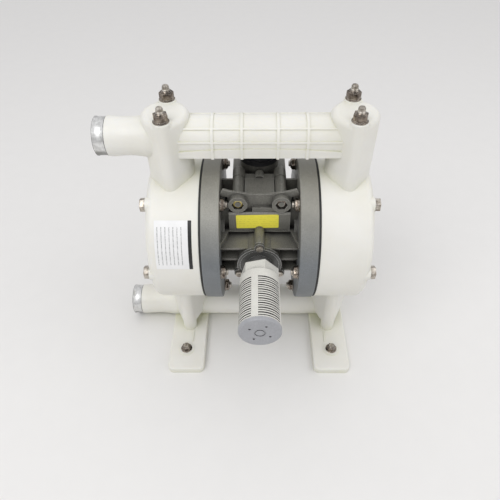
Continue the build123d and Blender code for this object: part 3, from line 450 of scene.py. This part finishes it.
def flangeNut(look):
    bm = bmesh.new()
    bore = look["radius"] + nutShape["boreGap"]
    flange = [(look["flangeRadius"] - inset, height) for inset, height in nutShape["rim"]]
    profile = [(bore, 0.0), *flange, (0.5 * look["flats"], look["flange"]), (bore, look["flange"])]
    addShape(bm, lathe(profile, closed=True), Matrix.Identity(4))
    hexagon = hexBlock(look["flats"], look["flange"] - nutShape["hexSink"], look["hexTop"])
    addShape(bm, hexagon, Matrix.Identity(4))
    foot = look["hexTop"] - nutShape["collarSink"]
    outside, top, edge = look["collarRadius"], look["collarTop"], nutShape["collarEdge"]
    collar = [(bore, foot), (outside, foot), (outside, top - edge), (outside - edge, top), (bore, top)]
    addShape(bm, lathe(collar, closed=True), Matrix.Identity(4))
    return bm


# studs and flange nuts on the four corners of the upper manifold
towerStud = {
    "x": 122.0, "y": 28.5, "seat": 409.9, "tip": 429.9, "foot": 309.1, "steps": 28,
    "radius": 5.0, "relief": 0.4, "pitch": 1.5, "threadDepth": 0.55,
    "shankBelow": 8.0, "threadBelow": 7.5, "threadShort": 4.2,
    "dome": ((0.3, 4.0), (0.5, 2.4), (1.4, 0.9), (3.0, 0.1)),
    "flangeRadius": 10.5, "flange": 2.2, "flats": 17.0, "hexTop": 10.4,
    "collarRadius": 6.4, "collarTop": 12.3, "turns": (17.0, 41.0),
}


def makeTowerStuds():
    look = towerStud
    nuts = bmesh.new()
    studs = bmesh.new()
    r, seat, tip = look["radius"], look["seat"], look["tip"]
    shank = r - look["relief"]
    for x in (-look["x"], look["x"]):
        for y in (-look["y"], look["y"]):
            turn = look["turns"][0] if x * y > 0 else look["turns"][1]
            addShape(nuts, flangeNut(look), along("+Z", (x, y, seat)) @ spun(turn))
            profile = [(0.0, look["foot"]), (shank, look["foot"]), (shank, seat - look["shankBelow"])]
            profile += threadProfile(r, seat - look["threadBelow"], tip - look["threadShort"],
                                     look["pitch"], look["threadDepth"])
            profile += [(r - inset, tip - drop) for inset, drop in look["dome"]] + [(0.0, tip)]
            addShape(studs, lathe(profile, look["steps"]), Matrix.Translation((x, y, 0)))
    finishPiece("towerNuts", nuts, finishes["fastener_steel"], "discharge_nuts")
    finishPiece("towerStuds", studs, paleSteel, "discharge_studs")


# hexagon bolts through each chamber, nuts against the inner face of the ring
chamberBolt = {
    "count": 6, "circle": 97.0, "headAt": 156.0, "headEnd": 163.9, "nutAt": 55.0, "tipAt": 44.1, "steps": 24,
    "radius": 5.0, "relief": 0.3, "sink": 1.0, "pitch": 1.5, "threadDepth": 0.5,
    "shankShort": 16.0, "threadLength": 15.5, "threadShort": 1.2, "tipInset": 0.8, "tipEdge": 0.3,
    "headFlats": 17.0, "headCrown": 0.9, "washerRadius": 9.6, "washer": 1.6, "washerEdge": 0.3,
    "washerSeat": 0.2, "flangeRadius": 10.3, "flange": 2.0, "flats": 16.0, "hexTop": 6.6,
    "collarRadius": 7.0, "collarTop": 7.9, "turnStep": 11.0,
}


def makeChamberBolts(side, sign):
    look = chamberBolt
    heads = bmesh.new()
    nuts = bmesh.new()
    r, wide, thick, edge = look["radius"], look["washerRadius"], look["washer"], look["washerEdge"]
    length = look["headAt"] - look["tipAt"]
    shank = r - look["relief"]
    outward, inward = ("+X", "-X") if sign > 0 else ("-X", "+X")
    washer = [(r, 0.0), (wide - look["washerSeat"], 0.0), (wide, edge), (wide, thick - edge),
              (wide - edge, thick), (r, thick)]
    bolt = [(0.0, -look["sink"]), (shank, -look["sink"]), (shank, length - look["shankShort"])]
    bolt += threadProfile(r, length - look["threadLength"], length - look["threadShort"],
                          look["pitch"], look["threadDepth"])
    bolt += [(r - look["tipInset"], length - look["tipEdge"]), (0.0, length)]
    for i in range(look["count"]):
        angle = 2 * math.pi * i / look["count"]
        y = look["circle"] * math.cos(angle)
        z = axisHeight + look["circle"] * math.sin(angle)
        turn = spun(look["turnStep"] * i)
        at = (sign * look["headAt"], y, z)
        addShape(heads, lathe(washer, closed=True), along(outward, at))
        head = hexBlock(look["headFlats"], thick, look["headEnd"] - look["headAt"], look["headCrown"])
        addShape(heads, head, along(outward, at) @ turn)
        addShape(heads, lathe(bolt, look["steps"]), along(inward, at))
        addShape(nuts, flangeNut(look), along(inward, (sign * look["nutAt"], y, z)) @ turn)
    finishPiece("chamberBolts" + side, heads, paleSteel, "chamber_bolts_" + side.lower())
    finishPiece("chamberNuts" + side, nuts, finishes["fastener_steel"],
                "chamber_nuts_" + side.lower())


# hold-down bolts of the feet, heads underneath and nuts on top
footBolt = {
    "x": 124.0, "y": 96.0, "seat": 13.25, "tip": 26.1, "foot": 5.0, "steps": 24,
    "radius": 4.0, "relief": 0.4, "pitch": 1.25, "threadDepth": 0.45,
    "shankBelow": 1.0, "threadBelow": 0.8, "threadShort": 1.4, "point": ((0.6, 1.0), (1.3, 0.0)),
    "headFlats": 13.0, "headLow": 0.8, "headHigh": 5.9, "headCrown": 0.3,
    "flangeRadius": 9.3, "flange": 1.8, "flats": 13.0, "hexTop": 6.9, "collarRadius": 5.2, "collarTop": 7.9,
    "turns": (20.0, 50.0),
}


def makeFootBolts():
    look = footBolt
    nuts = bmesh.new()
    bolts = bmesh.new()
    r, seat, tip = look["radius"], look["seat"], look["tip"]
    shank = r - look["relief"]
    for x in (-look["x"], look["x"]):
        for y in (-look["y"], look["y"]):
            turn = look["turns"][0] if x > 0 else look["turns"][1]
            addShape(nuts, flangeNut(look), along("+Z", (x, y, seat)) @ spun(turn))
            head = hexBlock(look["headFlats"], look["headLow"], look["headHigh"], look["headCrown"])
            addShape(bolts, head, Matrix.Translation((x, y, 0)))
            profile = [(0.0, look["foot"]), (shank, look["foot"]), (shank, seat - look["shankBelow"])]
            profile += threadProfile(r, seat - look["threadBelow"], tip - look["threadShort"],
                                     look["pitch"], look["threadDepth"])
            profile += [(r - inset, tip - drop) for inset, drop in look["point"]] + [(0.0, tip)]
            addShape(bolts, lathe(profile, look["steps"]), Matrix.Translation((x, y, 0)))
    finishPiece("footNuts", nuts, finishes["fastener_steel"], "foot_nuts")
    finishPiece("footBolts", bolts, paleSteel, "foot_bolts")


# steel reinforcing bands with rolled edges on the two port ends
portBand = {
    "radius": 25.95, "inner": 24.8, "width": 15.8,
    "bead": 0.7, "beadFrom": 0.4, "beadTo": 1.3, "beadFoot": 2.1,
    "steps": 72, "sharp": 50.0, "dark": (0.62, 0.62, 0.61), "light": (0.86, 0.86, 0.85),
    "speckScale": 260.0, "speckDetail": 3.0, "speckRoughness": 0.6, "speckSpan": (0.35, 0.7),
    "roughSpan": (0.3, 0.7), "rough": (0.28, 0.44), "metallic": 0.85, "bump": 0.06, "bumpDepth": 0.0003,
    "lowSideShadeScale": 55.0, "lowSideShadeSway": 6.0, "lowSideShadeLow": 8.0, "lowSideShadeHigh": 3.0, "lowSideShadeAmount": 0.85,
    "lowSideShade": (0.22, 0.22, 0.21), "gapShadowWidth": 0.7, "gapShadow": (0.03, 0.03, 0.03),
}


def bandFinish(name, startX, z):
    look = portBand
    mat, tree, shader, coords = newMaterial(name)
    place = coords.outputs["Object"]
    speck = noiseNode(tree, place, look["speckScale"], look["speckDetail"], look["speckRoughness"])
    colour = mixColour(tree, mapRange(tree, speck, *look["speckSpan"], 0.0, 1.0), look["dark"], look["light"])
    sway = mathNode(tree, "MULTIPLY", noiseNode(tree, place, look["lowSideShadeScale"]), look["lowSideShadeSway"] * mm)
    height = mathNode(tree, "ADD", axisOf(tree, coords, "Z"), sway)
    low, high = (z - look["lowSideShadeLow"]) * mm, (z - look["lowSideShadeHigh"]) * mm
    lowSideShade = mapRange(tree, height, low, high, look["lowSideShadeAmount"], 0.0)  # painted shade on the lower side, standing in for a darker reflection
    colour = mixColour(tree, lowSideShade, colour, look["lowSideShade"])
    offset = mathNode(tree, "SUBTRACT", axisOf(tree, coords, "X"), (startX + 0.5 * look["width"]) * mm)
    reach = (0.5 * look["width"] - look["gapShadowWidth"]) * mm
    rim = mathNode(tree, "GREATER_THAN", mathNode(tree, "ABSOLUTE", offset), reach)
    colour = mixColour(tree, rim, colour, look["gapShadow"])  # painted shadow in the gaps at the rolled edges
    tree.links.new(colour, shader.inputs["Base Color"])
    tree.links.new(mapRange(tree, speck, *look["roughSpan"], *look["rough"]), shader.inputs["Roughness"])
    shader.inputs["Metallic"].default_value = look["metallic"]
    addBump(tree, shader, speck, look["bump"], look["bumpDepth"])
    return mat


def makePortBand(name, startX, z, node):
    look = portBand
    r, w = look["radius"], look["width"]
    low = r - look["bead"]
    edge = [(low, 0.0), (r, look["beadFrom"]), (r, look["beadTo"]), (low, look["beadFoot"])]
    farEdge = [(radius, w - height) for radius, height in reversed(edge)]
    profile = [(look["inner"], 0.0), *edge, *farEdge, (look["inner"], w)]
    bm = bmesh.new()
    addShape(bm, lathe(profile, look["steps"], closed=True), along("+X", (startX, 0.0, z)))
    finishPiece(name, bm, bandFinish(name + "Steel", startX, z), node, look["sharp"])


# plain yellow plate on the label block
plate = {
    "left": -33.0, "right": 27.0, "low": 42.6, "high": 66.8, "face": -50.0, "thick": 0.5, "tilt": 1.1,
    "corner": 2.0, "cornerSteps": 5, "colour": (0.98, 0.88, 0.09), "worn": (0.80, 0.69, 0.08),
    "wearScale": 700.0, "wearDetail": 4.0, "wearRoughness": 0.7, "wearSpan": (0.50, 0.75), "wearAmount": 0.5,
    "lineStep": 4.2, "lineShare": 0.16, "line": (0.40, 0.34, 0.04), "lineAmount": 0.35,
    "breakScale": 330.0, "breakDetail": 2.0, "breakSpan": (0.48, 0.52), "rough": 0.42,
}


def plateMaterial():
    look = plate
    mat, tree, shader, coords = newMaterial("yellowPlate")
    place = coords.outputs["Object"]
    grain = noiseNode(tree, place, look["wearScale"], look["wearDetail"], look["wearRoughness"])
    wear = mapRange(tree, grain, *look["wearSpan"], 0.0, look["wearAmount"])
    colour = mixColour(tree, wear, look["colour"], look["worn"])
    steps = mathNode(tree, "DIVIDE", axisOf(tree, coords, "Z"), look["lineStep"] * mm)
    line = mathNode(tree, "LESS_THAN", mathNode(tree, "FRACT", steps), look["lineShare"])
    breaks = noiseNode(tree, place, look["breakScale"], look["breakDetail"])
    broken = mapRange(tree, breaks, *look["breakSpan"], 0.0, look["lineAmount"])
    colour = mixColour(tree, mathNode(tree, "MULTIPLY", line, broken), colour, look["line"])
    tree.links.new(colour, shader.inputs["Base Color"])
    shader.inputs["Roughness"].default_value = look["rough"]
    return mat


def makePlate():
    look = plate
    bm = bmesh.new()
    bmesh.ops.create_grid(bm, x_segments=1, y_segments=1, size=0.5)
    bmesh.ops.scale(bm, vec=(look["right"] - look["left"], look["high"] - look["low"], 1.0), verts=bm.verts)
    raiseFaces(bm, look["thick"])
    roundEdges(bm, [e for e in bm.edges if isUpright(e)], look["corner"], look["cornerSteps"])
    height = axisHeight + 0.5 * (look["low"] + look["high"])
    centre = (0.5 * (look["left"] + look["right"]), look["face"], height)
    bm.transform(along("-Y", centre) @ spun(look["tilt"]))
    finishPiece("labelPlate", bm, plateMaterial())


# plain curved sticker on the left chamber, ruled in grey, with a black band along its right edge
sticker = {
    "left": -142.5, "right": -92.0, "low": 9.0, "high": 46.5, "radius": 108.08, "thick": 0.18, "steps": 24,
    "sharp": 60.0, "paper": (0.86, 0.86, 0.86), "shade": (0.80, 0.80, 0.80), "cloudScale": 60.0,
    "cloudSpan": (0.4, 0.7), "lineFrom": -139.0, "linePitch": 5.4, "lineTo": -104.0, "lineShare": 0.24,
    "lineLead": 0.2, "lineLow": 23.5, "lineHigh": 72.0, "ink": (0.20, 0.20, 0.20), "inkAmount": (0.15, 0.75),
    "breakScale": 900.0, "breakDetail": 1.0, "breakSpan": (0.44, 0.50),
    "band": 5.0, "black": (0.015, 0.015, 0.015), "rough": 0.35,
}


def stickerMaterial():
    look = sticker
    mat, tree, shader, coords = newMaterial("stickerFilm")
    place = coords.outputs["Object"]
    across = axisOf(tree, coords, "X")
    rise = axisOf(tree, coords, "Z")
    cloud = mapRange(tree, noiseNode(tree, place, look["cloudScale"]), *look["cloudSpan"], 0.0, 1.0)
    colour = mixColour(tree, cloud, look["paper"], look["shade"])
    fromLeft = mathNode(tree, "SUBTRACT", across, look["lineFrom"] * mm)
    steps = mathNode(tree, "DIVIDE", fromLeft, look["linePitch"] * mm)
    mask = mathNode(tree, "LESS_THAN", mathNode(tree, "FRACT", steps), look["lineShare"])
    limits = (
        ("LESS_THAN", across, look["lineTo"]),
        ("GREATER_THAN", across, look["lineFrom"] - look["lineLead"]),
        ("LESS_THAN", rise, axisHeight + look["lineHigh"]),
        ("GREATER_THAN", rise, axisHeight + look["lineLow"]),
    )
    for test, value, limit in limits:
        mask = mathNode(tree, "MULTIPLY", mask, mathNode(tree, test, value, limit * mm))
    breaks = noiseNode(tree, place, look["breakScale"], look["breakDetail"])
    gaps = mapRange(tree, breaks, *look["breakSpan"], *look["inkAmount"])
    colour = mixColour(tree, mathNode(tree, "MULTIPLY", mask, gaps), colour, look["ink"])
    band = mathNode(tree, "GREATER_THAN", across, (look["right"] - look["band"]) * mm)
    colour = mixColour(tree, band, colour, look["black"])
    tree.links.new(colour, shader.inputs["Base Color"])
    shader.inputs["Roughness"].default_value = look["rough"]
    return mat


def makeSticker():
    look = sticker
    bm = bmesh.new()
    start = math.radians(look["low"])
    y = -look["radius"] * math.cos(start)
    z = look["radius"] * math.sin(start)
    ends = [bm.verts.new((look["left"], y, z)), bm.verts.new((look["right"], y, z))]
    edge = bm.edges.new(ends)
    bmesh.ops.spin(bm, geom=ends + [edge], cent=(0, 0, 0), axis=(1, 0, 0), steps=look["steps"],
                   angle=-math.radians(look["high"] - look["low"]))
    bmesh.ops.solidify(bm, geom=list(bm.faces), thickness=look["thick"])
    bmesh.ops.translate(bm, verts=bm.verts, vec=(0, 0, axisHeight))
    finishPiece("chamberSticker", bm, stickerMaterial(), sharp=look["sharp"])


# hexagon nuts and bolt ends in the two front pockets, brass on the left and steel on the right
tieNut = {
    "x": 30.0, "z": 294.0, "front": -47.4, "back": -41.0, "flats": 13.0, "crown": 0.9,
    "boltFront": -48.4, "boltFoot": 4.0, "radius": 4.0, "boltEdge": 0.7, "steps": 28,
}


def makeTieNuts():
    look = tieNut
    bm = bmesh.new()
    r, edge = look["radius"], look["boltEdge"]
    tip = look["back"] - look["boltFront"]
    bolt = [(0.0, look["boltFoot"]), (r, look["boltFoot"]), (r, tip - edge), (r - edge, tip), (0.0, tip)]
    for x in (-look["x"], look["x"]):
        place = along("-Y", (x, look["back"], look["z"]))
        addShape(bm, hexBlock(look["flats"], 0.0, look["back"] - look["front"], look["crown"]), place)
        addShape(bm, lathe(bolt, look["steps"]), place)
    nut = finishPiece("tieNuts", bm, finishes["brass"], "valve_tie_nuts")
    nut.data.materials.append(finishes["fastener_steel"])
    for face in nut.data.polygons:
        face.material_index = 1 if face.center.x > 0 else 0


makeSilencerTube()
makeTowerStuds()
makeChamberBolts("Left", -1)
makeChamberBolts("Right", 1)
makeFootBolts()
makePortBand("portBandDischarge", -216.0, 372.5, "port_band_discharge")
makePortBand("portBandSuction", -225.5, 30.0, "port_band_suction")
makePlate()
makeSticker()
makeTieNuts()
print("dressed pieces made")

studio = {
    "floorColour": (0.80, 0.79, 0.775), "floorShade": 0.97, "floorGrain": 30.0,
    "floorSize": 6.0, "floorRough": 0.7,
    "skyColour": (0.985, 0.985, 1.0), "skyHigh": 0.84, "skyLow": 0.38, "skySpan": (-0.05, 0.65),
    "aim": (0, 0, 0.2), "keyPlace": (-0.9, -1.0, 1.9), "keySize": 1.2, "keyPower": 14.0,
    "fillPlace": (1.3, -0.4, 1.4), "fillSize": 1.4, "fillPower": 6.0,
    "sensor": 36.0, "lens": 34.2, "cameraPlace": (-0.0059, -0.5499, 0.7134),
    "cameraRight": (0.9999, 0.0082, -0.0076), "cameraForward": (-0.0112, 0.7027, -0.7114),
}


def paleFloor():
    bm = bmesh.new()
    bmesh.ops.create_grid(bm, x_segments=1, y_segments=1, size=studio["floorSize"])
    mesh = bpy.data.meshes.new("studioFloor")
    bm.to_mesh(mesh)
    bm.free()
    floor = bpy.data.objects.new("studioFloor", mesh)
    bpy.context.scene.collection.objects.link(floor)
    mat, tree, shader, coords = newMaterial("studioFloor")
    grain = noiseNode(tree, coords.outputs["Object"], studio["floorGrain"])
    shade = tuple(studio["floorShade"] * c for c in studio["floorColour"])
    tree.links.new(mixColour(tree, grain, studio["floorColour"], shade), shader.inputs["Base Color"])
    shader.inputs["Roughness"].default_value = studio["floorRough"]
    mesh.materials.append(mat)


def addLamp(name, place, size, power):
    data = bpy.data.lights.new(name, "AREA")
    data.shape = "SQUARE"
    data.size = size
    data.energy = power
    lamp = bpy.data.objects.new(name, data)
    lamp.location = place
    lamp.rotation_euler = (Vector(studio["aim"]) - Vector(place)).to_track_quat("-Z", "Y").to_euler()
    bpy.context.scene.collection.objects.link(lamp)


def setWorld():
    world = bpy.data.worlds.new("studio")
    world.use_nodes = True
    tree = world.node_tree
    back = tree.nodes["Background"]
    coords = tree.nodes.new("ShaderNodeTexCoord")
    split = tree.nodes.new("ShaderNodeSeparateXYZ")
    tree.links.new(coords.outputs["Generated"], split.inputs["Vector"])
    level = mapRange(tree, split.outputs["Z"], *studio["skySpan"], studio["skyLow"], studio["skyHigh"])
    tree.links.new(level, back.inputs["Strength"])
    back.inputs["Color"].default_value = (*studio["skyColour"], 1.0)
    bpy.context.scene.world = world


def setCamera():
    data = bpy.data.cameras.new("camera")
    data.sensor_width = studio["sensor"]
    data.lens = studio["lens"]
    cam = bpy.data.objects.new("camera", data)
    forward = Vector(studio["cameraForward"]).normalized()
    up = Vector(studio["cameraRight"]).cross(forward).normalized()
    right = forward.cross(up)
    turn = Matrix((right, up, -forward)).transposed().to_4x4()
    cam.matrix_world = Matrix.Translation(studio["cameraPlace"]) @ turn
    bpy.context.scene.collection.objects.link(cam)
    bpy.context.scene.camera = cam


paleFloor()
setWorld()
addLamp("key", studio["keyPlace"], studio["keySize"], studio["keyPower"])
addLamp("fill", studio["fillPlace"], studio["fillSize"], studio["fillPower"])
setCamera()
bpy.context.scene.view_settings.view_transform = "Standard"
print("studio set")
